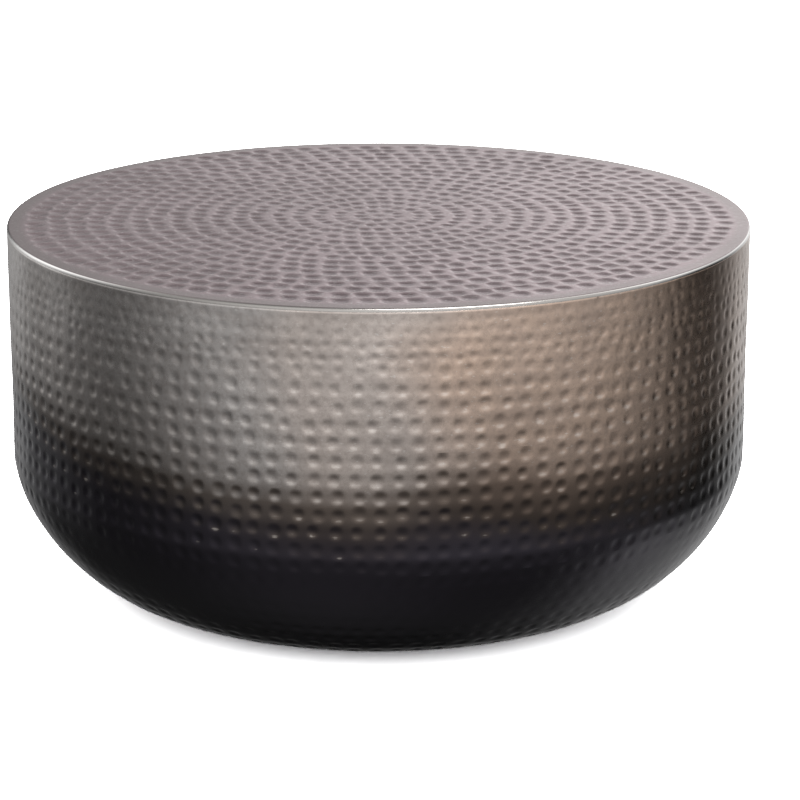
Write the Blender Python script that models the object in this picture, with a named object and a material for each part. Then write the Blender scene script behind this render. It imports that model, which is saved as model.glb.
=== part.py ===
"""Hammered metal drum coffee table, modelled piece by piece at its real size.

Units are metres, +Z is up, and the origin is on the floor under the middle of the table.

The drum is one spun sheet shell with a rounded foot and a closed base. The top is a lid made
of four kinds of piece: a hammered sheet with a turned-down hem, a stiffening board under it,
a rolled angle ring that carries the board, and the screws that pull ring and board together.
The shell's neck stands in the slot between hem and ring. A board inside the base takes the
screws of the glides that the table stands on.
"""

import math

import bmesh
import bpy
from mathutils import Vector

# Overall sizes
TABLE_DIAMETER = 0.762
TABLE_HEIGHT = 0.381

# The spun shell
SHELL_THICKNESS = 0.0016
BASE_DIAMETER = 0.532
FOOT_RISE = 0.133
FOOT_FULLNESS = 1.6
SHOULDER_ROUND = 0.0004

# The hammered top sheet
SHEET_THICKNESS = 0.0015
HEM_DEPTH = 0.0034
HEM_BEND_RADIUS = 0.0006
SEAM_LINE = 0.0003

# The stiffening board and the angle ring under the sheet
TOP_BOARD_THICKNESS = 0.012
RING_THICKNESS = 0.003
RING_LEG_WIDTH = 0.028

# The screws between ring and board
RING_SCREW_COUNT = 8
RING_SCREW_DIAMETER = 0.0042
RING_SCREW_HEAD_DIAMETER = 0.0085
RING_SCREW_HEAD_HEIGHT = 0.0030
RING_SCREW_FIRST_ANGLE = math.radians(22.5)

# The board inside the base
BASE_BOARD_MARGIN = 0.014
BASE_BOARD_THICKNESS = 0.009

# The glides and their screws
GLIDE_COUNT = 6
GLIDE_DIAMETER = 0.034
GLIDE_HEIGHT = 0.0060
GLIDE_EDGE_ROUND = 0.0018
GLIDE_INSET = 0.024
GLIDE_SCREW_DIAMETER = 0.0040
GLIDE_SCREW_HEAD_DIAMETER = 0.0080
GLIDE_SCREW_HEAD_HEIGHT = 0.0024
GLIDE_SCREW_RECESS = 0.0010

# Fits, and how far a screw goes into the board that holds it
CLEARANCE = 0.0003
SCREW_BITE_SHARE = 0.70
PILOT_REST = 0.0006
SCREW_POINT_LENGTH = 0.0025

# How finely round shapes are divided
DRUM_STEPS = 72
FOOT_STEPS = 12
HEM_STEPS = 4
GLIDE_STEPS = 20
SCREW_STEPS = 12
EDGE_STEPS = 3
WELD_DISTANCE = 1e-6
SMOOTH_ANGLE = math.radians(32)
FULL_TURN = 2 * math.pi
QUARTER_TURN = math.pi / 2

# Heights, from the floor up
BASE_Z = GLIDE_HEIGHT + CLEARANCE
BASE_BOARD_LOW_Z = BASE_Z + SHELL_THICKNESS + CLEARANCE
FOOT_TOP_Z = BASE_Z + FOOT_RISE
SHOULDER_Z = TABLE_HEIGHT - HEM_DEPTH - SEAM_LINE
LID_SEAT_Z = TABLE_HEIGHT - SHEET_THICKNESS - CLEARANCE
TOP_BOARD_LOW_Z = LID_SEAT_Z - TOP_BOARD_THICKNESS
RING_SEAT_Z = TOP_BOARD_LOW_Z - CLEARANCE
RING_LOW_Z = RING_SEAT_Z - RING_THICKNESS

# Radii, from the rim inwards
RIM_RADIUS = TABLE_DIAMETER / 2
NECK_RADIUS = RIM_RADIUS - SHEET_THICKNESS - CLEARANCE
RING_RADIUS = NECK_RADIUS - SHELL_THICKNESS - CLEARANCE
TOP_BOARD_RADIUS = RING_RADIUS - RING_THICKNESS - CLEARANCE
RING_SCREW_CIRCLE = RING_RADIUS - (RING_THICKNESS + RING_LEG_WIDTH) / 2
BASE_RADIUS = BASE_DIAMETER / 2
BASE_BOARD_RADIUS = BASE_RADIUS - BASE_BOARD_MARGIN
GLIDE_CIRCLE = BASE_BOARD_RADIUS - GLIDE_INSET


def clear_scene():
    """Removes everything that the start-up scene holds."""
    for thing in list(bpy.data.objects):
        bpy.data.objects.remove(thing, do_unlink=True)


def finish(name, colour, metallic, roughness):
    """A Principled BSDF material of one colour."""
    material = bpy.data.materials.new(name)
    material.use_nodes = True
    shader = material.node_tree.nodes["Principled BSDF"]
    shader.inputs["Base Color"].default_value = (*colour, 1.0)
    shader.inputs["Metallic"].default_value = metallic
    shader.inputs["Roughness"].default_value = roughness
    material.diffuse_color = (*colour, 1.0)
    return material


def arc(centre, radius, start, end, steps):
    """Points of (radius, height) round a centre, from one angle to another."""
    angles = [start + (end - start) * step / steps for step in range(steps + 1)]
    return [(centre[0] + radius * math.cos(a), centre[1] + radius * math.sin(a)) for a in angles]


def inner_face(profile, thickness):
    """The inner face of a bent sheet: its outer profile moved square to each stretch.

    The profile runs outwards or downwards along the outer face, so the inner face is on its right.
    """
    points = [Vector(point) for point in profile]
    stretches = [(end - start).normalized() for start, end in zip(points, points[1:])]
    normals = [Vector((along.y, -along.x)) for along in stretches]
    moved = []
    for index, point in enumerate(points):
        before = normals[max(index - 1, 0)]
        after = normals[min(index, len(normals) - 1)]
        moved.append(tuple(point + (before + after) * thickness / (1.0 + before.dot(after))))
    return moved


def turned_mesh(name, profile, steps, closed=False, places=(Vector(),)):
    """The surface that a profile of (radius, height) points sweeps round a vertical axis.

    A closed profile makes a ring, and an open one whose two ends are on the axis makes a solid.
    The sweep is repeated at each of the places.
    """
    bm = bmesh.new()
    for place in places:
        verts = [bm.verts.new(place + Vector((radius, 0.0, height))) for radius, height in profile]
        ends = verts[1:] + verts[:1] if closed else verts[1:]
        edges = [bm.edges.new(pair) for pair in zip(verts, ends)]
        bmesh.ops.spin(
            bm, geom=verts + edges, cent=place, axis=(0, 0, 1), angle=FULL_TURN, steps=steps, use_merge=True
        )
    bmesh.ops.remove_doubles(bm, verts=bm.verts, dist=WELD_DISTANCE)
    bmesh.ops.dissolve_degenerate(bm, edges=bm.edges, dist=WELD_DISTANCE)
    bmesh.ops.recalc_face_normals(bm, faces=bm.faces)
    mesh = bpy.data.meshes.new(name)
    bm.to_mesh(mesh)
    bm.free()
    mesh.shade_smooth()
    mesh.set_sharp_from_angle(angle=SMOOTH_ANGLE)
    return mesh


def place_piece(name, mesh, material, table, location=Vector()):
    """Adds one named piece to the table."""
    piece = bpy.data.objects.new(name, mesh)
    if not mesh.materials:
        mesh.materials.append(material)
    piece.location = location
    piece.parent = table
    bpy.context.scene.collection.objects.link(piece)
    return piece


def circle_places(radius, count, first_angle=0.0):
    """Evenly spaced places round the table's axis."""
    angles = [first_angle + FULL_TURN * number / count for number in range(count)]
    return [Vector((radius * math.cos(angle), radius * math.sin(angle), 0.0)) for angle in angles]


def drill(piece, name, diameter, low_z, high_z, places):
    """Cuts a plain round hole with clearance for a shank, at each of the places in a piece."""
    radius = diameter / 2 + CLEARANCE
    profile = [(0.0, high_z), (radius, high_z), (radius, low_z), (0.0, low_z)]
    cutter = bpy.data.objects.new(name, turned_mesh(name, profile, SCREW_STEPS, places=places))
    cutter.hide_render = True
    cutter.display_type = "WIRE"
    cutter.parent = piece.parent
    bpy.context.scene.collection.objects.link(cutter)
    cut = piece.modifiers.new(name, "BOOLEAN")
    cut.operation = "DIFFERENCE"
    cut.solver = "EXACT"
    cut.object = cutter


def foot_profile():
    """The rounded foot, from the straight wall to the flat base: a quarter of a superellipse."""
    run = RIM_RADIUS - BASE_RADIUS
    power = 2 / FOOT_FULLNESS
    points = []
    for step in range(FOOT_STEPS + 1):
        turn = QUARTER_TURN * step / FOOT_STEPS
        out = max(math.cos(turn), 0.0) ** power
        down = math.sin(turn) ** power
        points.append((BASE_RADIUS + run * out, FOOT_TOP_Z - FOOT_RISE * down))
    return points


def drum_shell(table, material, glide_places):
    """The spun shell: neck, shoulder, straight wall, rounded foot and closed base."""
    neck = [(NECK_RADIUS, LID_SEAT_Z), (NECK_RADIUS, SHOULDER_Z)]
    below = foot_profile() + [(0.0, BASE_Z)]
    round_centre = (RIM_RADIUS - SHOULDER_ROUND, SHOULDER_Z - SHOULDER_ROUND)
    shoulder = arc(round_centre, SHOULDER_ROUND, QUARTER_TURN, 0.0, EDGE_STEPS)
    outer = neck + shoulder + below
    inner = inner_face(neck + [(RIM_RADIUS, SHOULDER_Z)] + below, SHELL_THICKNESS)
    mesh = turned_mesh("drum_shell", inner[::-1] + outer, DRUM_STEPS)
    shell = place_piece("drum_shell", mesh, material, table)
    below_base = BASE_Z - SHELL_THICKNESS
    above_base = BASE_Z + 2 * SHELL_THICKNESS
    drill(shell, "shell_screw_holes", GLIDE_SCREW_DIAMETER, below_base, above_base, glide_places)


def top_sheet(table, material):
    """The hammered top: a flat sheet whose edge turns down as a hem outside the shell's neck."""
    bend = SHEET_THICKNESS + HEM_BEND_RADIUS
    bend_centre = (RIM_RADIUS - bend, TABLE_HEIGHT - bend)
    outer = [(0.0, TABLE_HEIGHT)]
    outer += arc(bend_centre, bend, QUARTER_TURN, 0.0, HEM_STEPS)
    outer += [(RIM_RADIUS, TABLE_HEIGHT - HEM_DEPTH)]
    profile = outer + inner_face(outer, SHEET_THICKNESS)[::-1]
    place_piece("top_sheet", turned_mesh("top_sheet", profile, DRUM_STEPS), material, table)


def support_ring(table, material, screw_places):
    """A rolled angle: one leg up against the shell's neck, the other inwards under the board."""
    inner = RING_RADIUS - RING_LEG_WIDTH
    upright = RING_RADIUS - RING_THICKNESS
    profile = [
        (RING_RADIUS, LID_SEAT_Z),
        (RING_RADIUS, RING_LOW_Z),
        (inner, RING_LOW_Z),
        (inner, RING_SEAT_Z),
        (upright, RING_SEAT_Z),
        (upright, LID_SEAT_Z),
    ]
    mesh = turned_mesh("support_ring", profile, DRUM_STEPS, closed=True)
    ring = place_piece("support_ring", mesh, material, table)
    below_leg = RING_LOW_Z - RING_THICKNESS
    above_leg = RING_SEAT_Z + RING_THICKNESS
    drill(ring, "ring_screw_holes", RING_SCREW_DIAMETER, below_leg, above_leg, screw_places)


def round_board(name, radius, low_z, thickness, screw_diameter, screw_places, table, material):
    """A round board with plain faces, and pilot holes for the screws that come up into it."""
    high_z = low_z + thickness
    profile = [(0.0, high_z), (radius, high_z), (radius, low_z), (0.0, low_z)]
    board = place_piece(name, turned_mesh(name, profile, DRUM_STEPS), material, table)
    bite = thickness * SCREW_BITE_SHARE
    drill(board, f"{name}_pilot_holes", screw_diameter, low_z - bite, low_z + bite + PILOT_REST, screw_places)


def boards(table, material, screw_places, glide_places):
    """The stiffening board under the top sheet, and the board inside the base."""
    round_board(
        "top_board",
        TOP_BOARD_RADIUS,
        TOP_BOARD_LOW_Z,
        TOP_BOARD_THICKNESS,
        RING_SCREW_DIAMETER,
        screw_places,
        table,
        material,
    )
    round_board(
        "base_board",
        BASE_BOARD_RADIUS,
        BASE_BOARD_LOW_Z,
        BASE_BOARD_THICKNESS,
        GLIDE_SCREW_DIAMETER,
        glide_places,
        table,
        material,
    )


def ring_screws(table, material, screw_places):
    """Domed screws, up through the ring into the top board. Each mesh's zero is its head's seat."""
    head = RING_SCREW_HEAD_DIAMETER / 2
    shank = RING_SCREW_DIAMETER / 2
    seat_z = RING_LOW_Z - CLEARANCE
    tip = TOP_BOARD_LOW_Z + TOP_BOARD_THICKNESS * SCREW_BITE_SHARE - seat_z
    profile = [(0.0, tip), (shank, tip - SCREW_POINT_LENGTH), (shank, 0.0), (head, 0.0)]
    for step in range(1, EDGE_STEPS + 1):
        turn = QUARTER_TURN * step / EDGE_STEPS
        profile.append((head * max(math.cos(turn), 0.0), -RING_SCREW_HEAD_HEIGHT * math.sin(turn)))
    mesh = turned_mesh("ring_screw", profile, SCREW_STEPS)
    for number, place in enumerate(screw_places, start=1):
        seat = place + Vector((0.0, 0.0, seat_z))
        place_piece(f"ring_screw_{number}", mesh, material, table, seat)


def glides(table, material, glide_places):
    """Turned plastic pads with a rounded lower edge and a countersunk hole."""
    outer = GLIDE_DIAMETER / 2
    bore = GLIDE_SCREW_DIAMETER / 2 + CLEARANCE
    sink = GLIDE_SCREW_HEAD_DIAMETER / 2 + CLEARANCE
    sink_top = GLIDE_SCREW_RECESS + GLIDE_SCREW_HEAD_HEIGHT + CLEARANCE
    round_centre = (outer - GLIDE_EDGE_ROUND, GLIDE_EDGE_ROUND)
    profile = [(bore, GLIDE_HEIGHT), (bore, sink_top), (sink, GLIDE_SCREW_RECESS), (sink, 0.0)]
    profile += arc(round_centre, GLIDE_EDGE_ROUND, -QUARTER_TURN, 0.0, EDGE_STEPS)
    profile += [(outer, GLIDE_HEIGHT)]
    mesh = turned_mesh("glide", profile, GLIDE_STEPS, closed=True)
    for number, place in enumerate(glide_places, start=1):
        place_piece(f"glide_{number}", mesh, material, table, place)


def glide_screws(table, material, glide_places):
    """Countersunk screws, up through glide and shell into the base board."""
    head = GLIDE_SCREW_HEAD_DIAMETER / 2
    shank = GLIDE_SCREW_DIAMETER / 2
    head_top = GLIDE_SCREW_RECESS + GLIDE_SCREW_HEAD_HEIGHT
    tip = BASE_BOARD_LOW_Z + BASE_BOARD_THICKNESS * SCREW_BITE_SHARE
    profile = [
        (0.0, tip),
        (shank, tip - SCREW_POINT_LENGTH),
        (shank, head_top),
        (head, GLIDE_SCREW_RECESS),
        (0.0, GLIDE_SCREW_RECESS),
    ]
    mesh = turned_mesh("glide_screw", profile, SCREW_STEPS)
    for number, place in enumerate(glide_places, start=1):
        place_piece(f"glide_screw_{number}", mesh, material, table, place)


def main():
    clear_scene()
    table = bpy.data.objects.new("table", None)
    bpy.context.scene.collection.objects.link(table)

    dark_metal = finish("dark_hammered_aluminium", (0.105, 0.095, 0.090), 1.0, 0.38)
    light_metal = finish("hammered_aluminium", (0.360, 0.325, 0.325), 1.0, 0.36)
    fibreboard = finish("fibreboard", (0.330, 0.220, 0.130), 0.0, 0.85)
    steel = finish("zinc_plated_steel", (0.560, 0.570, 0.580), 1.0, 0.35)
    nylon = finish("black_nylon", (0.030, 0.030, 0.032), 0.0, 0.55)

    screw_places = circle_places(RING_SCREW_CIRCLE, RING_SCREW_COUNT, RING_SCREW_FIRST_ANGLE)
    glide_places = circle_places(GLIDE_CIRCLE, GLIDE_COUNT)

    drum_shell(table, dark_metal, glide_places)
    top_sheet(table, light_metal)
    support_ring(table, steel, screw_places)
    boards(table, fibreboard, screw_places, glide_places)
    ring_screws(table, steel, screw_places)
    glides(table, nylon, glide_places)
    glide_screws(table, steel, glide_places)


main()
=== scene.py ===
# %% [markdown]
# A drum coffee table of hammered sheet metal. Its parts come in as a fixed frame, in metres, with
# the origin on the floor under the middle of the table. This script gives them their looks: the two
# metal surfaces that show, the drum and the top, are remade with every hammer blow in the mesh, and
# the pieces inside keep their shape and get a finish.

# %% Load the frame
import math

import bmesh
import bpy
import numpy as np
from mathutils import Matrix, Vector


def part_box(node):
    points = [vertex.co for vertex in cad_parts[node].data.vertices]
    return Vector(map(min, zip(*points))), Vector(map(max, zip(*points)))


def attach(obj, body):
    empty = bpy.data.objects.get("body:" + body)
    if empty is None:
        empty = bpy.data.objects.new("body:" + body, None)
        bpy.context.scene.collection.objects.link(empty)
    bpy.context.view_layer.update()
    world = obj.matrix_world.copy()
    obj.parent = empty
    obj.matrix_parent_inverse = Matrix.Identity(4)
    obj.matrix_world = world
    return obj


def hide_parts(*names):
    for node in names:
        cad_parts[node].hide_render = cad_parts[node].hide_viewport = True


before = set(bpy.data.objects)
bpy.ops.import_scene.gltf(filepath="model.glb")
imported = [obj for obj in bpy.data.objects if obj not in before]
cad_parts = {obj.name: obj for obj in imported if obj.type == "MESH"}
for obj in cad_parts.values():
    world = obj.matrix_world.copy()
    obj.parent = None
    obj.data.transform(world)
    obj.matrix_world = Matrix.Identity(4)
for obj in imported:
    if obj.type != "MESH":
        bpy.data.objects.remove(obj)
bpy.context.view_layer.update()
print("nodes:", len(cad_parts))

# %% [markdown]
# The camera comes first, because every later choice is judged through it. A long lens from eight
# table radii away, tilted down by sixteen degrees, gives the same flat oval for the top as the
# photograph. The small shift puts the table a little left of the middle, as it is there.

# %% Camera
TABLE_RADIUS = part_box("top_sheet")[1].x
TABLE_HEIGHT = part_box("top_sheet")[1].z
SENSOR_WIDTH = 36.0
LENS = 136.2
SHIFT = 0.0268
DISTANCE_IN_RADII = 8.0
CAMERA_HEIGHT = 1.073
CAMERA_TILT = 16.27

camera_data = bpy.data.cameras.new("camera")
camera_data.sensor_width = SENSOR_WIDTH
camera_data.lens = LENS
camera_data.shift_x = SHIFT
camera = bpy.data.objects.new("camera", camera_data)
camera.location = (0.0, -DISTANCE_IN_RADII * TABLE_RADIUS, CAMERA_HEIGHT)
camera.rotation_euler = (math.radians(90.0 - CAMERA_TILT), 0.0, 0.0)
bpy.context.scene.collection.objects.link(camera)
bpy.context.scene.camera = camera
bpy.context.scene.view_settings.view_transform = "Standard"
print("camera distance:", round(camera.location.length, 3))

# %% [markdown]
# Finishes are node trees, and a tree that is clicked together in words gets long. Two small
# classes keep it readable: a Wire is the value on a socket, and arithmetic on wires adds Math
# nodes, while a Finish is the tree itself, with one method that adds, sets and links any node.

# %% Node trees as expressions
class Wire:
    """The value on a socket. Arithmetic on it adds Math nodes to its tree."""

    def __init__(self, finish, socket):
        self.finish = finish
        self.socket = socket

    def math(self, operation, first, second):
        return self.finish.node("ShaderNodeMath", {"operation": operation}, {0: first, 1: second})

    def out(self, name):
        """Another output of the same node."""
        return Wire(self.finish, self.socket.node.outputs[name])

    def __add__(self, other):
        return self.math("ADD", self, other)

    def __sub__(self, other):
        return self.math("SUBTRACT", self, other)

    def __rsub__(self, other):
        return self.math("SUBTRACT", other, self)

    def __mul__(self, other):
        return self.math("MULTIPLY", self, other)

    def __pow__(self, other):
        return self.math("POWER", self, other)

    __radd__ = __add__
    __rmul__ = __mul__


class Finish:
    """A node tree: one method adds a node, makes its settings and fills its sockets."""

    def __init__(self, tree):
        self.tree = tree
        tree.nodes.clear()

    def node(self, kind, settings=None, sockets=None, output=0):
        made = self.tree.nodes.new(kind)
        for name, value in (settings or {}).items():
            setattr(made, name, value)
        for name, value in (sockets or {}).items():
            if isinstance(value, Wire):
                self.tree.links.new(value.socket, made.inputs[name])
            else:
                made.inputs[name].default_value = value
        return Wire(self, made.outputs[output]) if made.outputs else None

    def mix(self, share, first, second):
        """A colour between two colours."""
        sockets = {0: share, 6: first, 7: second}
        return self.node("ShaderNodeMix", {"data_type": "RGBA"}, sockets, output=2)

    def step(self, value, low, high, out_low=0.0, out_high=1.0):
        """A soft step: out_low below low, out_high above high."""
        sockets = {0: value, 1: low, 2: high, 3: out_low, 4: out_high}
        return self.node("ShaderNodeMapRange", {"interpolation_type": "SMOOTHSTEP"}, sockets)

    def noise(self, place, scale, detail=3.0, stretch=(1.0, 1.0, 1.0)):
        """Soft random mottling, around a half."""
        sockets = {0: place, 1: stretch}
        stretched = self.node("ShaderNodeVectorMath", {"operation": "MULTIPLY"}, sockets)
        sockets = {"Vector": stretched, "Scale": scale, "Detail": detail}
        return self.node("ShaderNodeTexNoise", {}, sockets)


def paint(red, green, blue):
    """A screen colour, 0 to 255, as the linear colour that a socket takes."""
    linear = []
    for value in (red, green, blue):
        share = value / 255
        linear.append(share / 12.92 if share <= 0.04045 else ((share + 0.055) / 1.055) ** 2.4)
    return (*linear, 1.0)


print("a mid grey is", round(paint(128, 128, 128)[0], 3), "in a socket")

# %% [markdown]
# Bare metal has hardly a colour of its own: it shows the room. A plain white room would make this
# table look like plaster, so the world that the metal sees is a small studio, written as soft round
# glows by direction. There is a big soft front that brightens upwards, a low wall behind on the
# right with its far end on the left, and a window on each side. Dark patches are glows that take
# light away: the dark below the windows, and the floor in the table's own shade. Last comes a little
# light off the floor, which the rounded foot shows. For the camera the background is plain white,
# and for the floor it is plain even light.

# %% World
EVEN_LIGHT = 0.75


def toward(bearing, rise):
    """A direction from degrees right of the front, and degrees above level."""
    turn = math.radians(bearing)
    lift = math.radians(rise)
    level = math.cos(lift)
    return Vector((math.sin(turn) * level, -math.cos(turn) * level, math.sin(lift)))


def glow(sky, direction, bearing, rise, power):
    """1 in one direction, falling off to 0 in the opposite one."""
    sockets = {0: direction, 1: toward(bearing, rise)}
    along = sky.node("ShaderNodeVectorMath", {"operation": "DOT_PRODUCT"}, sockets, output=1)
    return (along * 0.5 + 0.5) ** power


world = bpy.data.worlds.new("studio")
world.use_nodes = True
bpy.context.scene.world = world
sky = Finish(world.node_tree)
direction = sky.node("ShaderNodeTexCoord").out("Generated")
height = sky.node("ShaderNodeSeparateXYZ", {}, {0: direction}).out("Z")

# The front brightens upwards, and darkens again overhead
front = sky.step(height, -0.95, 0.45, 0.15, 1.21) * sky.step(height, 0.55, 1.0, 1.0, 0.6)
seen_in_metal = glow(sky, direction, 12, 0, 1.45) * front

# The low wall behind on the right fades out upwards
low_wall = glow(sky, direction, 150, 4, 7.0) * sky.step(height, -0.2, 0.2, 1.15, 1.36)
low_wall = low_wall * sky.step(height, 0.235, 0.42, 1.0, 0.32)
seen_in_metal = seen_in_metal + low_wall

for bearing, rise, power, strength in (
    (-150, -4, 14.0, 0.50),  # the far end of the low wall
    (-128, 22, 14.0, 1.25),  # a window on the left
    (118, 50, 22.0, 1.4),  # a window on the right
):
    seen_in_metal = seen_in_metal + glow(sky, direction, bearing, rise, power) * strength
for bearing, rise, power, share in (
    (-92, -12, 14.0, 0.57),  # the dark below the left window
    (-131, -16, 120.0, 0.5),  # its far edge
    (118, -11, 13.0, 1.0),  # the dark below the right window
    (112, -8, 60.0, 0.95),  # the darkest of it
    (180, -58, 20.0, 0.9),  # the floor in the table's own shade
    (170, -53, 60.0, 0.55),  # the darkest of it, close to the foot
    (-142, -36, 45.0, 0.75),  # the same on the left
    (-132, -33, 90.0, 0.5),  # its near edge on the left
    (-165, -45, 40.0, 0.4),  # its far edge on the left
    (-160, 6, 30.0, 1.0),  # the far corner on the left
):
    seen_in_metal = seen_in_metal * (1 - glow(sky, direction, bearing, rise, power) * share)
for bearing, rise, power, strength in (
    (106, -38, 80.0, 0.54),  # light off the floor on the right
    (133, -47, 80.0, 0.14),  # more of it, further back
    (-30, -66, 16.0, 0.16),  # light off the floor in front
):
    seen_in_metal = seen_in_metal + glow(sky, direction, bearing, rise, power) * strength

rays = sky.node("ShaderNodeLightPath")
in_metal = rays.out("Is Glossy Ray")
plain = rays.out("Is Camera Ray") * (1.0 - EVEN_LIGHT) + EVEN_LIGHT
brightness = plain * (1 - in_metal) + seen_in_metal * in_metal
sockets = {"Color": (1.0, 1.0, 1.0, 1.0), "Strength": brightness}
surface = sky.node("ShaderNodeBackground", {}, sockets)
sky.node("ShaderNodeOutputWorld", {}, {"Surface": surface})
print("world nodes:", len(world.node_tree.nodes))

# %% [markdown]
# One soft lamp stands in front of the table, high and a little to the right. It draws the thin
# bright line along the rim, and leaves the shade under the rounded foot. The floor is pale and
# matt. For the camera it is whiter than for the other light, so that the background is white and
# only the close shade under the table stays. The metal doesn't see it, because the world already
# has the light off the floor.

# %% Lamp and floor
LAMP_WIDTH = 1.6
LAMP_DEPTH = 1.0
LAMP_WATTS = 30.0
LAMP_PLACE = Vector((0.7, -1.4, 2.3))
LAMP_AIM = Vector((0.0, 0.0, 0.2))
FLOOR_RADIUS = 12.0
FLOOR_PALE = 0.85
FLOOR_WHITER = 6.0

lamp_data = bpy.data.lights.new("softbox", "AREA")
lamp_data.shape = "RECTANGLE"
lamp_data.size = LAMP_WIDTH
lamp_data.size_y = LAMP_DEPTH
lamp_data.energy = LAMP_WATTS
lamp = bpy.data.objects.new("softbox", lamp_data)
lamp.location = LAMP_PLACE
lamp.rotation_euler = (LAMP_PLACE - LAMP_AIM).to_track_quat("Z", "Y").to_euler()
bpy.context.scene.collection.objects.link(lamp)

floor_mesh = bpy.data.meshes.new("floor")
ground = bmesh.new()
bmesh.ops.create_circle(ground, cap_ends=True, segments=64, radius=FLOOR_RADIUS)
ground.to_mesh(floor_mesh)
ground.free()
floor_paint = bpy.data.materials.new("floor_paint")
floor_paint.use_nodes = True
pale = Finish(floor_paint.node_tree)
white = pale.node("ShaderNodeLightPath").out("Is Camera Ray") * FLOOR_WHITER + FLOOR_PALE
matt = pale.node("ShaderNodeBsdfDiffuse", {}, {"Color": white})
pale.node("ShaderNodeOutputMaterial", {}, {"Surface": matt})
floor_mesh.materials.append(floor_paint)
floor = bpy.data.objects.new("floor", floor_mesh)
floor.visible_glossy = False
bpy.context.scene.collection.objects.link(floor)
print("floor and lamp are in place")

# %% [markdown]
# Every dent is a hammer blow: a small dish, a little squarer than round, with a soft rim, because
# the hammer's face is square with its corners ground off. Blows are laid in rows, as a smith does,
# each row with its own count and its own start, and each blow a little off its place, wider, deeper
# or more tilted by chance. On the drum a row of blows also draws in the sheet between them, so that
# each row lies in a faint groove. Seeded chance gives the same table on every run.

# %% Hammer blows
FULL_TURN = 2 * math.pi
SQUARE = 2.5
WIDTHS = (0.88, 1.12)
DEPTHS = (0.75, 1.1)
TILT = 0.25
MOST_TILT = 0.6
STRAIGHTNESS = 0.8
GROOVE_WAVES = (5, 12)
GROOVE_MEAN = 0.6
GROOVE_SWING = 0.4
REACH_IN_DISHES = 1.6
REACH_IN_WANDERS = 3


class Row:
    """One row of blows: its distance along the metal, its radius and its blows."""

    def __init__(self, chance, along, radius, count, dish, depth, start, wander, edge, groove):
        self.middle = along
        self.radius = radius
        self.start = start
        self.step = FULL_TURN / count
        self.along = along + chance.normal(0.0, wander * STRAIGHTNESS, count)
        self.turn = start + self.step * np.arange(count)
        self.turn = self.turn + chance.normal(0.0, wander, count) / max(radius, dish)
        self.dish = dish * chance.uniform(*WIDTHS, count)
        self.depth = depth * chance.uniform(*DEPTHS, count)
        self.tilt = chance.normal(0.0, TILT, (2, count))
        self.edge = edge
        self.groove = depth * groove
        self.waves = chance.integers(*GROOVE_WAVES)
        self.width = dish
        self.reach = dish * REACH_IN_DISHES + wander * REACH_IN_WANDERS


def dents(rows, turn, along, radius):
    """How deep the blows press the sheet in at each place, in metres."""
    pressed = np.zeros(len(turn))
    groove = np.zeros(len(turn))
    for row in rows:
        near = np.flatnonzero(np.abs(along - row.middle) < row.reach)
        nearest = np.round((turn[near] - row.start) / row.step).astype(int)
        for neighbour in (-1, 0, 1):
            blow = (nearest + neighbour) % len(row.turn)
            across = np.sin(turn[near] - row.turn[blow]) * np.sqrt(radius[near] * row.radius)
            across = across / row.dish[blow]
            down = (along[near] - row.along[blow]) / row.dish[blow]
            gap = (np.abs(across) ** SQUARE + np.abs(down) ** SQUARE) ** (1 / SQUARE)
            lean = row.tilt[0, blow] * across + row.tilt[1, blow] * down
            tilted = 1 + np.clip(lean, -MOST_TILT, MOST_TILT)
            dish = np.maximum(0.0, 1 - gap**2) ** row.edge * tilted
            pressed[near] = np.maximum(pressed[near], dish * row.depth[blow])
        hollow = np.exp(-2 * ((along[near] - row.middle) / row.width) ** 2)
        uneven = GROOVE_MEAN + GROOVE_SWING * np.sin(row.waves * turn[near] + row.start)
        groove[near] += hollow * row.groove * uneven
    return pressed + groove


print("rows hold blows, and dents() adds them up")

# %% [markdown]
# The drum's outline is a straight wall that runs into a rounded foot, a quarter of a superellipse
# between the wall and the flat base. The outline is kept as a table of points by distance along
# the metal, because blows are spaced along the metal and not by height.

# %% Outline of the drum
SHELL_THICKNESS = 0.0016
SHEET_THICKNESS = 0.0015
HEM_DEPTH = 0.0034
SEAM_LINE = 0.00005
FIT = 0.0003
BASE_RADIUS = 0.266
FOOT_RISE = 0.133
FOOT_FULLNESS = 1.6
OUTLINE_POINTS = 600
NUDGE = 0.0004

BASE_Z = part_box("drum_shell")[0].z
NECK_TOP_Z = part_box("drum_shell")[1].z
SHOULDER_Z = TABLE_HEIGHT - HEM_DEPTH - SEAM_LINE
FOOT_TOP_Z = BASE_Z + FOOT_RISE

turns = np.linspace(0.0, math.pi / 2, OUTLINE_POINTS)
foot_out = np.maximum(np.cos(turns), 0.0) ** (2 / FOOT_FULLNESS)
foot_down = np.sin(turns) ** (2 / FOOT_FULLNESS)
outline_r = np.append(TABLE_RADIUS, BASE_RADIUS + (TABLE_RADIUS - BASE_RADIUS) * foot_out)
outline_z = np.append(SHOULDER_Z, FOOT_TOP_Z - FOOT_RISE * foot_down)
outline_s = np.append(0.0, np.cumsum(np.hypot(np.diff(outline_r), np.diff(outline_z))))


def outline(along):
    """Radius and height at a distance along the metal from the shoulder, and the outward normal."""
    radius = np.interp(along, outline_s, outline_r)
    height = np.interp(along, outline_s, outline_z)
    before = along - NUDGE
    after = along + NUDGE
    run = np.interp(after, outline_s, outline_r) - np.interp(before, outline_s, outline_r)
    fall = np.interp(after, outline_s, outline_z) - np.interp(before, outline_s, outline_z)
    length = np.hypot(run, fall)
    return radius, height, -fall / length, run / length


def outline_at(along):
    """The same four values at one distance."""
    return [float(value[0]) for value in outline(np.array([along]))]


METAL_LENGTH = outline_s[-1]
print("metal from shoulder to base:", round(METAL_LENGTH * 1000, 1), "mm")

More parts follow.
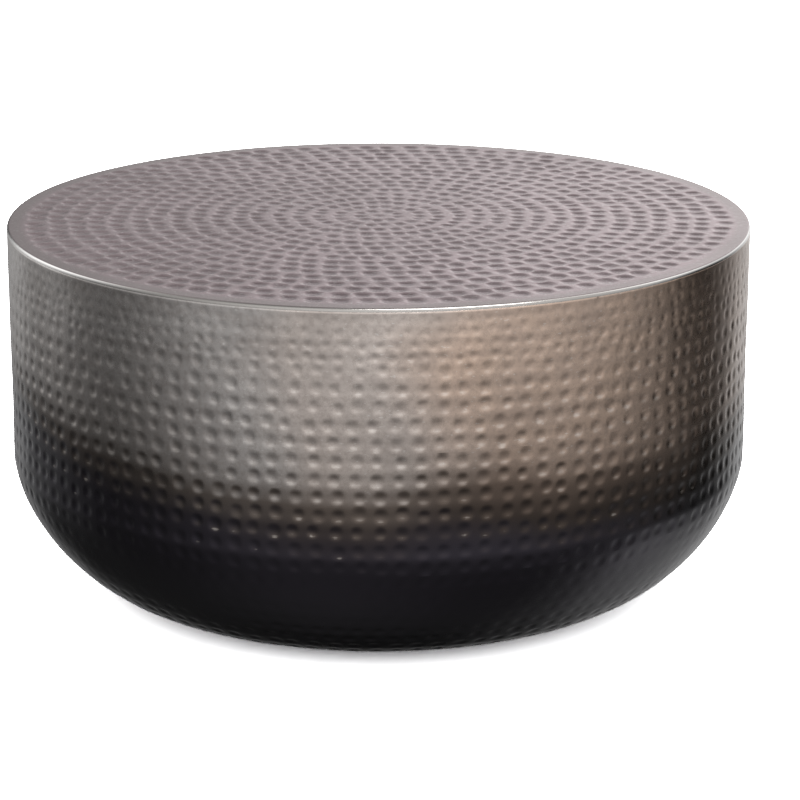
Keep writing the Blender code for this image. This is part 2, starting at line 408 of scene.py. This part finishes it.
# %% [markdown]
# The rows on the drum follow the real ones. The first four, under the rim, are light, close and a
# little wild, and the blows get deeper row by row down the wall. Where the metal turns under, a
# hammer slides off, so the blows all but fade there, and they come back on the last rows above the
# base.

# %% Rows on the drum
DRUM_SEED = 7
BLOW_PITCH = 0.0200
ROW_PITCH = 0.0174
FIRST_ROW = 0.0080
BLOW_DISH = 0.0068
BLOW_DEPTH = 0.00088
BLOW_EDGE = 1.25
GROOVE = 0.18
PLAIN_BASE_BAND = 0.022
LIGHT_ROWS = 4
LIGHT_BLOW_PITCH = 0.8
LIGHT_ROW_PITCH = 0.70
LIGHT_DISH = 0.72
LIGHT_WANDER = 0.0016
WANDER = 0.0011
FIRST_SHARE = 0.32
SHARE_PER_ROW = 0.10
FIRST_DISH = 0.85
DISH_GAIN = 0.15
DRIFT = 0.2
BLOW_HEIGHTS = (0.030, 0.048, 0.062, 0.100, 0.120, 0.160)
BLOW_SHARES = (0.75, 0.65, 0.20, 0.20, 0.65, 1.0)

chance = np.random.default_rng(DRUM_SEED)
drum_rows = []
along = FIRST_ROW
start = 0.0
while along < METAL_LENGTH - PLAIN_BASE_BAND:
    light = len(drum_rows) < LIGHT_ROWS
    radius, z = outline_at(along)[:2]
    count = round(FULL_TURN * radius / (BLOW_PITCH * (LIGHT_BLOW_PITCH if light else 1.0)))
    settled = min(1.0, FIRST_SHARE + SHARE_PER_ROW * len(drum_rows))
    depth = BLOW_DEPTH * settled * float(np.interp(z, BLOW_HEIGHTS, BLOW_SHARES))
    dish = BLOW_DISH * (LIGHT_DISH if light else FIRST_DISH + DISH_GAIN * settled)
    wander = LIGHT_WANDER if light else WANDER
    drum_rows.append(Row(chance, along, radius, count, dish, depth, start, wander, BLOW_EDGE, GROOVE))
    start += chance.normal(0.0, DRIFT) * BLOW_PITCH / radius
    along += ROW_PITCH * (LIGHT_ROW_PITCH if light else 1.0)
print("rows of blows:", len(drum_rows), "blows:", sum(len(row.turn) for row in drum_rows))

# %% [markdown]
# The wall starts as a flat sheet, a fine grid, that is hammered and rolled into a drum, as the
# real one could be. Spinning a profile would give the same round, but on a mesh this fine the
# grid is far quicker. The two ends of the sheet meet and are welded. One mesh with every blow
# would be too big for one piece, so the drum is three bands that part on plain metal, between two
# rows of blows, where the join can't be seen. Each point keeps two facts for the finish: how deep
# the dent is there, and whether that side of the dent looks up or down.

# %% A hammered sheet, rolled round
WELD = 1e-6
STEEP = 0.22
CALM_RIM = 0.03
CALM_BASE = 0.05
WAVES = ((0.00016, 7, 21, 0.4), (0.00012, 17, -34, 2.1), (0.00010, 29, 55, 4.0))


def unevenness(turn, along):
    """Sheet that was worked by hand is never quite round: a few soft waves, in metres."""
    waves = 0.0
    for high, round_it, down_it, start in WAVES:
        waves = waves + high * np.sin(round_it * turn + down_it * along + start)
    below_rim = np.clip(along / CALM_RIM, 0.0, 1.0)
    above_base = np.clip((METAL_LENGTH - along) / CALM_BASE, 0.0, 1.0)
    return waves * below_rim * above_base


def rolled_sheet(top, bottom, faces_round, faces_down):
    """A hammered sheet, rolled to the drum's outline between two distances along the metal."""
    sheet = bmesh.new()
    bmesh.ops.create_grid(sheet, x_segments=faces_round, y_segments=faces_down, size=0.5)
    flat = np.array([vert.co for vert in sheet.verts])
    turn = FULL_TURN * (flat[:, 0] + 0.5)
    along = top + (bottom - top) * (0.5 - flat[:, 1])
    radius, height, out, up = outline(along)
    pressed = dents(drum_rows, turn, along, radius)
    moved = pressed + unevenness(turn, along)
    radius = radius - moved * out
    height = np.maximum(height - moved * up, BASE_Z)
    rise = np.gradient(pressed.reshape(faces_down + 1, faces_round + 1), axis=0).ravel()
    facing = np.clip(rise * faces_down / (bottom - top) / STEEP, -1.0, 1.0)
    dent_layer = sheet.verts.layers.float.new("dent")
    facing_layer = sheet.verts.layers.float.new("facing")
    places = np.column_stack([radius * np.cos(turn), radius * np.sin(turn), height])
    for vert, place, depth, side in zip(sheet.verts, places, pressed / BLOW_DEPTH, facing):
        vert.co = place
        vert[dent_layer] = depth
        vert[facing_layer] = side
    bmesh.ops.remove_doubles(sheet, verts=sheet.verts, dist=WELD)
    return sheet


most = sum(wave[0] for wave in WAVES)
print("the sheet is out of round by at most", round(most * 1000, 2), "mm")


# %% Open edges of a sheet
def open_loop(sheet, highest):
    """The edges of the highest or the lowest open loop."""
    edges = [edge for edge in sheet.edges if edge.is_boundary]
    heights = [edge.verts[0].co.z for edge in edges]
    middle = (min(heights) + max(heights)) / 2
    return [edge for edge, z in zip(edges, heights) if (z > middle) == highest]


def turn_in(sheet, loop, radius, height):
    """Carries an open loop on to another radius and height, and gives the new loop."""
    made = bmesh.ops.extrude_edge_only(sheet, edges=loop)["geom"]
    for vert in made:
        if isinstance(vert, bmesh.types.BMVert):
            flat = Vector((vert.co.x, vert.co.y, 0.0)).normalized() * radius
            vert.co = (flat.x, flat.y, height)
    return [edge for edge in made if isinstance(edge, bmesh.types.BMEdge) and edge.is_boundary]


print("an open edge can be found and carried on")

# %% From a sheet to a piece
SHARP = math.radians(50)


def finished(name, sheet, node):
    """Makes a named piece of a mesh, in place of a node of the frame."""
    bmesh.ops.recalc_face_normals(sheet, faces=sheet.faces)
    mesh = bpy.data.meshes.new(name)
    sheet.to_mesh(mesh)
    sheet.free()
    mesh.shade_smooth()
    mesh.set_sharp_from_angle(angle=SHARP)
    piece = bpy.data.objects.new(name, mesh)
    bpy.context.scene.collection.objects.link(piece)
    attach(piece, "root")
    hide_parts(node)
    triangles = sum(len(face.vertices) - 2 for face in mesh.polygons)
    print(name, "has", triangles, "triangles")
    return piece


print("edges sharper than", round(math.degrees(SHARP)), "degrees stay crisp")

# %% [markdown]
# Each band is carried on from its open edges, which makes it a real sheet with two faces: the upper
# band over the shoulder, up the neck that stands inside the lid and down its inner face, and the
# lower band down its inner face. A Solidify modifier could do that too, but it would copy every dent
# to the inside, which nobody sees. The foot is closed by the flat base, outside and inside.

# %% Upper wall
UPPER_ROWS = 9
NECK_RADIUS = TABLE_RADIUS - SHEET_THICKNESS - FIT
SHOULDER_ROUND = 0.0001
WALL_FACES = 1250
FACE = 0.0019


def inside_at(along):
    """Radius and height of the shell's inner face, opposite a distance along the metal."""
    radius, height, out, up = outline_at(along)
    height = max(height - SHELL_THICKNESS * up, BASE_Z + SHELL_THICKNESS)
    return radius - SHELL_THICKNESS * out, height


def part_line(row):
    """Half way between a row of blows and the next."""
    return (drum_rows[row].middle + drum_rows[row + 1].middle) / 2


upper_end = part_line(UPPER_ROWS - 1)
sheet = rolled_sheet(SHOULDER_ROUND, upper_end, WALL_FACES, round(upper_end / FACE))
bottom = open_loop(sheet, highest=False)
loop = open_loop(sheet, highest=True)
inner_neck = NECK_RADIUS - SHELL_THICKNESS
inner_shoulder_z = SHOULDER_Z - SHELL_THICKNESS
for radius, z in (
    (TABLE_RADIUS - SHOULDER_ROUND, SHOULDER_Z),
    (NECK_RADIUS, SHOULDER_Z),
    (NECK_RADIUS, NECK_TOP_Z),
    (inner_neck, NECK_TOP_Z),
    (inner_neck, inner_shoulder_z),
    (TABLE_RADIUS - SHELL_THICKNESS, inner_shoulder_z),
    inside_at(upper_end),
):
    loop = turn_in(sheet, loop, radius, z)
bmesh.ops.bridge_loops(sheet, edges=loop + bottom)
upper_wall = finished("upper_wall", sheet, "drum_shell")

# %% Lower wall
LOWER_ROWS = 16
WALL_RINGS_INSIDE = 4

lower_end = part_line(LOWER_ROWS - 1)
sheet = rolled_sheet(upper_end, lower_end, WALL_FACES, round((lower_end - upper_end) / FACE))
bottom = open_loop(sheet, highest=False)
loop = open_loop(sheet, highest=True)
for along in np.linspace(upper_end, lower_end, WALL_RINGS_INSIDE):
    loop = turn_in(sheet, loop, *inside_at(along))
bmesh.ops.bridge_loops(sheet, edges=loop + bottom)
lower_wall = finished("lower_wall", sheet, "drum_shell")

# %% Foot
FOOT_FACES = 1000
FOOT_FACES_DOWN = 80
FOOT_RINGS_INSIDE = 12
BASE_RINGS = (0.24, 0.12)


def close_in(sheet, loop):
    """Draws an open loop together at the table's axis."""
    verts = list({vert for edge in loop for vert in edge.verts})
    height = sum(vert.co.z for vert in verts) / len(verts)
    bmesh.ops.pointmerge(sheet, verts=verts, merge_co=(0.0, 0.0, height))


sheet = rolled_sheet(lower_end, METAL_LENGTH, FOOT_FACES, FOOT_FACES_DOWN)
bottom = open_loop(sheet, highest=False)
loop = open_loop(sheet, highest=True)
for radius in BASE_RINGS:
    bottom = turn_in(sheet, bottom, radius, BASE_Z)
close_in(sheet, bottom)
for along in np.linspace(lower_end, METAL_LENGTH, FOOT_RINGS_INSIDE):
    loop = turn_in(sheet, loop, *inside_at(along))
loop = turn_in(sheet, loop, BASE_RINGS[-1], BASE_Z + SHELL_THICKNESS)
close_in(sheet, loop)
foot = finished("rounded_foot", sheet, "drum_shell")

# %% [markdown]
# The top is hammered in rings from the middle out, with broader blows towards the edge, and its
# last finger's breadth stays plain. Rings go in threes: the last two of three have the same number
# of blows, and each ring starts a little on from the one before, so the blows line up in swirls.

# %% Rings on the top
TOP_SEED = 11
RING_PITCH = 0.0207
TOP_DEPTH = 0.00115
TOP_WANDER = 0.0014
TOP_EDGE = 1.0
MIDDLE_PITCH = 0.0132
PITCH_GROWTH = 0.0285
MIDDLE_DISH = 0.0072
DISH_GROWTH = 0.0082
DEPTH_PER_WIDTH = 0.108
PLAIN_BORDER = 0.018
RINGS_ALIKE = 3
LEAN = 0.30

chance = np.random.default_rng(TOP_SEED)
top_rows = []
ring = 0.0
start = 0.0
while ring < TABLE_RADIUS - PLAIN_BORDER:
    kind = len(top_rows) // RINGS_ALIKE
    middle = RING_PITCH * (kind * RINGS_ALIKE + (RINGS_ALIKE - 1) / 2)
    if kind == 0:
        middle = ring
    pitch = MIDDLE_PITCH + PITCH_GROWTH * middle
    count = max(1, round(FULL_TURN * min(ring, middle) / pitch))
    dish = MIDDLE_DISH + DISH_GROWTH * ring
    depth = DEPTH_PER_WIDTH * dish
    top_rows.append(Row(chance, ring, ring, count, dish, depth, start, TOP_WANDER, TOP_EDGE, 0.0))
    start += LEAN * FULL_TURN / count
    ring += RING_PITCH
print("rings of blows:", len(top_rows), "blows:", sum(len(row.turn) for row in top_rows))

# %% [markdown]
# The top is made like the drum, in pieces that part on the plain metal between two rings: a disc in
# the middle and two rings round it. The disc is a square grid drawn out to a circle, which spreads
# its faces evenly and leaves no pole on the face that shows. The rings are grids bent round. The
# edge of the outer ring is carried over a soft bend and down as the hem, and back underneath.

# %% Middle of the top
UNDER_Z = TABLE_HEIGHT - SHEET_THICKNESS
DISC_GRID = 210
DISC_RINGS = 8


def hammered_flat(sheet, radius, turn):
    """Lays the points of a sheet out on the top, and presses the blows in."""
    pressed = dents(top_rows, turn, radius, radius)
    layer = sheet.verts.layers.float.new("dent")
    height = TABLE_HEIGHT - pressed
    places = np.column_stack([radius * np.cos(turn), radius * np.sin(turn), height])
    for vert, place, depth in zip(sheet.verts, places, pressed / TOP_DEPTH):
        vert.co = place
        vert[layer] = depth
    bmesh.ops.remove_doubles(sheet, verts=sheet.verts, dist=WELD)


def ring_line(ring):
    """Half way between a ring of blows and the next."""
    return (top_rows[ring].middle + top_rows[ring + 1].middle) / 2


disc_end = ring_line(DISC_RINGS - 1)
sheet = bmesh.new()
bmesh.ops.create_grid(sheet, x_segments=DISC_GRID, y_segments=DISC_GRID, size=1.0)
square = np.array([vert.co for vert in sheet.verts])
across, deep = square[:, 0], square[:, 1]
wide = np.abs(across) > np.abs(deep)
share = np.where(wide, across, deep)
slant = np.where(wide, deep, across) / np.where(share == 0.0, 1.0, share) * (math.pi / 4)
turn = np.where(wide, slant, math.pi / 2 - slant) + np.where(share < 0.0, math.pi, 0.0)
hammered_flat(sheet, np.abs(share) * disc_end, turn)
loop = [edge for edge in sheet.edges if edge.is_boundary]
for radius in (disc_end, disc_end / 2):
    loop = turn_in(sheet, loop, radius, UNDER_Z)
close_in(sheet, loop)
top_disc = finished("top_disc", sheet, "top_sheet")

# %% Inner ring of the top
RING_FACE = 0.0015
INNER_RINGS = 14
INNER_FACES = 1000


def flat_ring(inner, outer, faces_round, faces_out):
    """A hammered ring, and its inner and outer edges."""
    sheet = bmesh.new()
    bmesh.ops.create_grid(sheet, x_segments=faces_round, y_segments=faces_out, size=0.5)
    flat = np.array([vert.co for vert in sheet.verts])
    radius = inner + (outer - inner) * (flat[:, 1] + 0.5)
    hammered_flat(sheet, radius, FULL_TURN * (flat[:, 0] + 0.5))
    edges = [edge for edge in sheet.edges if edge.is_boundary]
    far = (inner + outer) / 2
    inside = [edge for edge in edges if edge.verts[0].co.xy.length < far]
    outside = [edge for edge in edges if edge.verts[0].co.xy.length > far]
    return sheet, inside, outside


inner_end = ring_line(INNER_RINGS - 1)
faces_out = round((inner_end - disc_end) / RING_FACE)
sheet, inside, loop = flat_ring(disc_end, inner_end, INNER_FACES, faces_out)
for radius in (inner_end, disc_end):
    loop = turn_in(sheet, loop, radius, UNDER_Z)
bmesh.ops.bridge_loops(sheet, edges=loop + inside)
top_inner = finished("top_inner_ring", sheet, "top_sheet")

# %% Outer ring of the top
OUTER_FACES = 1200
INNER_BEND = 0.0006
BEND = SHEET_THICKNESS + INNER_BEND
BEND_STEPS = np.radians(np.arange(15, 91, 15))

flat_end = TABLE_RADIUS - BEND
faces_out = round((flat_end - inner_end) / RING_FACE)
sheet, inside, loop = flat_ring(inner_end, flat_end, OUTER_FACES, faces_out)
hem_z = TABLE_HEIGHT - HEM_DEPTH
for bent in BEND_STEPS:
    radius = flat_end + BEND * math.sin(bent)
    loop = turn_in(sheet, loop, radius, hem_z + HEM_DEPTH * math.cos(bent))
hem_inside = TABLE_RADIUS - SHEET_THICKNESS
for radius, z in (
    (hem_inside, hem_z),
    (hem_inside, UNDER_Z - INNER_BEND),
    (hem_inside - INNER_BEND, UNDER_Z),
    (inner_end, UNDER_Z),
):
    loop = turn_in(sheet, loop, radius, z)
bmesh.ops.bridge_loops(sheet, edges=loop + inside)
top_outer = finished("top_outer_ring", sheet, "top_sheet")

# %% [markdown]
# The drum is silvered and rubbed back above, and black below, one running into the other about
# half way up. A picture could be wrapped round it, but a finish made of masks follows every blow at
# any distance, so it reads the two facts that the mesh keeps. Silver that is rubbed back stays
# bright on the high metal and goes dark in the dents, cooler on one side and warmer, like bronze, on
# the other. The black was sprayed from below, a little higher at the sides. The slope of each face
# paints light and shade: a painted highlight on dent sides that look up, a black edge that reaches
# higher on faces that look down (painted shade) and lower on faces that look up (painted light),
# painted glints on a few edges that look up, and fine bright flecks as painted sparkle. A thin clear
# coat lies over the black.

# %% Start and end of a finish
def new_finish(name):
    """A material with an empty tree, and the place on the piece."""
    material = bpy.data.materials.new(name)
    material.use_nodes = True
    tree = Finish(material.node_tree)
    return material, tree, tree.node("ShaderNodeTexCoord").out("Object")


def surface_of(tree, **sockets):
    """Ends a tree with one principled surface."""
    names = {name.replace("_", " "): value for name, value in sockets.items()}
    shader = tree.node("ShaderNodeBsdfPrincipled", {}, names)
    tree.node("ShaderNodeOutputMaterial", {}, {"Surface": shader})


def bumped(tree, height, strength, distance):
    """A normal from small heights."""
    sockets = {"Strength": strength, "Distance": distance, "Height": height}
    return tree.node("ShaderNodeBump", {}, sockets)


print("a finish starts from an empty tree and ends in one surface")

# %% Finish of the drum
COOL_SILVER = paint(219, 214, 211)
WARM_SILVER = paint(227, 200, 181)
CLOUDS = paint(149, 142, 139)
STREAKS = paint(139, 129, 125)
IN_DENTS = paint(115, 104, 99)
PAINTED_LIP_HIGHLIGHT = paint(248, 242, 236)
GRAIN = paint(149, 137, 129)
PAINTED_SPARKLE = paint(252, 249, 245)
COOL_DULL = paint(98, 89, 83)
WARM_DULL = paint(103, 88, 78)
BLUE_BLACK = paint(37, 31, 43)
BROWN_BLACK = paint(47, 35, 28)
PAINTED_GLINT = paint(214, 206, 198)


def hammered_drum():
    """Silver above, black below, darker in the dents, with painted highlights, glints, sparkle and
    shade by slope.
    """
    material, tree, place = new_finish("hammered_drum")
    split = tree.node("ShaderNodeSeparateXYZ", {}, {0: place})
    dent = tree.node("ShaderNodeAttribute", {"attribute_name": "dent"}).out("Fac")
    facing = tree.node("ShaderNodeAttribute", {"attribute_name": "facing"}).out("Fac")
    broad = tree.noise(place, 5.0, 2.0)
    cloudy = tree.noise(place, 16.0, 4.0, (1.0, 1.0, 0.6))
    fine = tree.noise(place, 90.0, 3.0)
    streaks = tree.noise(place, 13.0, 3.0, (1.0, 1.0, 7.0))
    east = split.out("X")

    # Silver, from cool on the left to warm on the right
    across = east + (broad - 0.5) * 0.2
    side = tree.step(across, -0.14, -0.07, 0.0, 0.30) + tree.step(across, 0.02, 0.12, 0.0, 0.70)
    side = side * tree.step(east, 0.31, 0.37, 1.0, 0.5)
    silver = tree.mix(side, COOL_SILVER, WARM_SILVER)
    silver = tree.mix(tree.step(cloudy, 0.35, 0.75) * 0.3, silver, CLOUDS)
    silver = tree.mix(tree.step(streaks, 0.35, 0.70) * 0.22, silver, STREAKS)
    silver = tree.mix(tree.step(dent, 0.2, 1.0) * 0.15, silver, IN_DENTS)
    # Painted highlight: the sides of the dents that look up are lightened
    silver = tree.mix(tree.step(facing, 0.3, 1.0) * 0.45, silver, PAINTED_LIP_HIGHLIGHT)
    grain = tree.noise(place, 230.0, 2.0)
    silver = tree.mix(tree.step(grain, 0.40, 0.70) * 0.25, silver, GRAIN)
    # Painted sparkle: fine bright flecks
    painted_sparkle = tree.step(tree.noise(place, 300.0, 1.0, (0.6, 0.6, 1.5)), 0.68, 0.76)
    silver = tree.mix(painted_sparkle * 0.3, silver, PAINTED_SPARKLE)

    # How high the black reaches, and the brown where it thins out
    lift = tree.step(east, -0.37, -0.29, 0.028, 0.0) + tree.step(east, -0.32, -0.08, 0.026, 0.0)
    lift = lift + tree.step(east, -0.02, 0.09, 0.0, 0.022) + tree.step(east, 0.12, 0.17, 0.0, -0.012)
    line = split.out("Z") - lift + (cloudy - 0.5) * 0.02 + (broad - 0.5) * 0.015
    # Painted shade and light: the black reaches higher on faces that look down, lower on faces that
    # look up
    line = line + facing * 0.018
    dusk = tree.step(line, 0.18, 0.355, 0.40, 0.0)
    dark = tree.step(line, 0.138, 0.244, 1.0, 0.0)
    dull = tree.mix(side, COOL_DULL, WARM_DULL)
    brown = tree.mix(dusk + tree.step(dark, 0.0, 0.75) * 0.72, silver, dull)
    earthy = (side + tree.step(across, -0.2, -0.07, 0.0, 0.45)) * tree.step(line, 0.12, 0.18)
    black = tree.mix(earthy, BLUE_BLACK, BROWN_BLACK)
    colour = tree.mix(tree.step(dark, 0.5, 1.0), brown, black)

    # Painted glints on a few edges that look up, just above the black
    painted_glints = tree.step(facing, 0.6, 1.0) * tree.step(line, 0.135, 0.165) * tree.step(dark, 0.2, 0.8)
    colour = tree.mix(painted_glints * tree.step(fine, 0.4, 0.6) * 0.6, colour, PAINTED_GLINT)
    rough = tree.step(cloudy, 0.2, 0.8, 0.22, 0.32) + (fine - 0.5) * 0.08
    surface_of(
        tree,
        Base_Color=colour,
        Metallic=1.0,
        Roughness=rough,
        Coat_Weight=dark * tree.step(east, -0.34, -0.2, 0.43, 0.67),
        Coat_Roughness=0.28,
        Normal=bumped(tree, fine, 0.12, 0.001),
    )
    return material


drum_finish = hammered_drum()
for piece in (upper_wall, lower_wall, foot):
    piece.data.materials.append(drum_finish)
print(drum_finish.name, "has", len(drum_finish.node_tree.nodes), "nodes")

# %% [markdown]
# The top is the same silver with a mauve cast, and its finish is made in the same way, from the
# depth of the blows. Its broad dents hold the dark, patina with painted shade, less of it on the
# left, and the ridges between them stay light. Fine bright flecks are painted sparkle. The plain
# border is greyer, and the bend of the rim, which every hand and cloth passes over, is bright, with
# a painted highlight where it turns away at the left and right ends.

# %% Finish of the top
MAUVE = paint(202, 179, 183)
GREY_MAUVE = paint(192, 171, 174)
SPECKLES = paint(150, 135, 138)
DENT_PATINA_AND_SHADE = paint(104, 84, 90)
LID_PAINTED_SPARKLE = paint(240, 234, 232)
GREY_BORDER = paint(156, 152, 147)
RIM_IN_FRONT = paint(184, 180, 176)
RIM_PAINTED_HIGHLIGHT = paint(240, 238, 236)


def hammered_lid():
    """Mauve grey silver, dark in the dents with patina and painted shade, with a bright rubbed edge,
    painted sparkle and a painted highlight at the rim's ends.
    """
    material, tree, place = new_finish("hammered_lid")
    dent = tree.node("ShaderNodeAttribute", {"attribute_name": "dent"}).out("Fac")
    sockets = {0: place, 1: (1.0, 1.0, 0.0)}
    flat = tree.node("ShaderNodeVectorMath", {"operation": "MULTIPLY"}, sockets)
    radius = tree.node("ShaderNodeVectorMath", {"operation": "LENGTH"}, {0: flat}, output=1)
    cloudy = tree.noise(place, 9.0, 3.0)
    fine = tree.noise(place, 110.0, 3.0)
    speckle = tree.noise(place, 260.0, 2.0)
    colour = tree.mix(tree.step(cloudy, 0.3, 0.7), MAUVE, GREY_MAUVE)
    colour = tree.mix(tree.step(speckle, 0.35, 0.7) * 0.25, colour, SPECKLES)
    east = tree.node("ShaderNodeSeparateXYZ", {}, {0: place}).out("X")
    dent_patina_and_shade = tree.step(east, -0.34, -0.12, 0.12, 0.47) * tree.step(east, 0.0, 0.25, 1.0, 0.85)
    # Patina with painted shade: the dents are darkened, less on the left
    colour = tree.mix(tree.step(dent, 0.25, 0.60) * dent_patina_and_shade, colour, DENT_PATINA_AND_SHADE)
    # Painted sparkle: fine bright flecks
    painted_sparkle = tree.step(tree.noise(place, 300.0, 1.0), 0.62, 0.70)
    colour = tree.mix(painted_sparkle * 0.4, colour, LID_PAINTED_SPARKLE)
    border = tree.step(radius, TABLE_RADIUS - 0.020, TABLE_RADIUS - 0.010)
    colour = tree.mix(border * 0.4, colour, GREY_BORDER)
    rim = tree.step(radius, TABLE_RADIUS - BEND * 0.9, TABLE_RADIUS - BEND * 0.5)
    # Painted highlight: the rim is brighter at its left and right ends
    painted_rim_highlight = tree.step(east * east, 0.03, 0.10)
    colour = tree.mix(rim, colour, tree.mix(painted_rim_highlight, RIM_IN_FRONT, RIM_PAINTED_HIGHLIGHT))
    rough = tree.step(cloudy, 0.2, 0.8, 0.16, 0.22) + (fine - 0.5) * 0.05
    rough = rough * (1 - rim) + rim * 0.2
    surface_of(
        tree, Base_Color=colour, Metallic=1.0, Roughness=rough, Normal=bumped(tree, fine, 0.1, 0.001)
    )
    return material


lid_finish = hammered_lid()
for piece in (top_disc, top_inner, top_outer):
    piece.data.materials.append(lid_finish)
print(lid_finish.name, "has", len(lid_finish.node_tree.nodes), "nodes")

# %% [markdown]
# What is inside keeps its shape from the frame and only needs its own stuff: two boards of pressed
# wood fibre, a ring and screws of zinc-plated steel, and glides of dark nylon that are scuffed pale
# where they stand on the floor. Hardly any of it shows, so a little noise is enough.

# %% Finish of the boards
LIGHT_FIBRE = paint(150, 116, 82)
DARK_FIBRE = paint(112, 82, 54)
PALE_PATCH = paint(168, 136, 100)


def pressed_board():
    """Pressed wood fibre: brown, matt and speckled."""
    material, tree, place = new_finish("pressed_board")
    fibres = tree.noise(place, 220.0, 4.0, (1.0, 1.0, 3.0))
    patches = tree.noise(place, 12.0, 2.0)
    colour = tree.mix(tree.step(fibres, 0.35, 0.65), LIGHT_FIBRE, DARK_FIBRE)
    colour = tree.mix(tree.step(patches, 0.35, 0.7) * 0.35, colour, PALE_PATCH)
    rough = tree.step(fibres, 0.2, 0.8, 0.75, 0.9)
    surface_of(tree, Base_Color=colour, Roughness=rough, Normal=bumped(tree, fibres, 0.3, 0.0004))
    return material


def give(finish, *starts):
    """Puts a finish on every node whose name starts like this."""
    named = [node for name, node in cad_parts.items() if name.startswith(starts)]
    for node in named:
        for slot in node.material_slots:
            slot.material = finish
    print(finish.name, "is on", len(named), "nodes")


give(pressed_board(), "top_board", "base_board")

# %% Finish of the ring and the screws
DULL_ZINC = paint(176, 180, 184)
BRIGHT_ZINC = paint(206, 208, 206)


def zinc_plate():
    """Bright zinc on steel, with its soft spangle."""
    material, tree, place = new_finish("zinc_plate")
    spangle = tree.node("ShaderNodeTexVoronoi", {}, {"Vector": place, "Scale": 160.0}).out("Color")
    level = tree.node("ShaderNodeSeparateColor", {}, {0: spangle})
    fine = tree.noise(place, 400.0, 2.0)
    colour = tree.mix(level, DULL_ZINC, BRIGHT_ZINC)
    rough = tree.step(fine, 0.3, 0.7, 0.28, 0.42)
    surface_of(
        tree, Base_Color=colour, Metallic=1.0, Roughness=rough, Normal=bumped(tree, fine, 0.1, 0.0002)
    )
    return material


give(zinc_plate(), "support_ring", "ring_screw", "glide_screw")

# %% Finish of the glides
NYLON = paint(44, 44, 46)
SCUFFS = paint(120, 118, 114)


def dark_nylon():
    """Dark nylon with a moulded grain, scuffed pale underneath."""
    material, tree, place = new_finish("dark_nylon")
    height = tree.node("ShaderNodeSeparateXYZ", {}, {0: place}).out("Z")
    grain = tree.noise(place, 900.0, 2.0)
    scratches = tree.noise(place, 60.0, 4.0, (1.0, 6.0, 1.0))
    scuffed = tree.step(height, 0.0, 0.0006, 1.0, 0.0) * tree.step(scratches, 0.4, 0.65)
    colour = tree.mix(scuffed * 0.6, NYLON, SCUFFS)
    rough = tree.step(grain, 0.3, 0.7, 0.45, 0.6) + scuffed * 0.2
    surface_of(tree, Base_Color=colour, Roughness=rough, Normal=bumped(tree, grain, 0.25, 0.0002))
    return material


give(dark_nylon(), "glide_1", "glide_2", "glide_3", "glide_4", "glide_5", "glide_6")
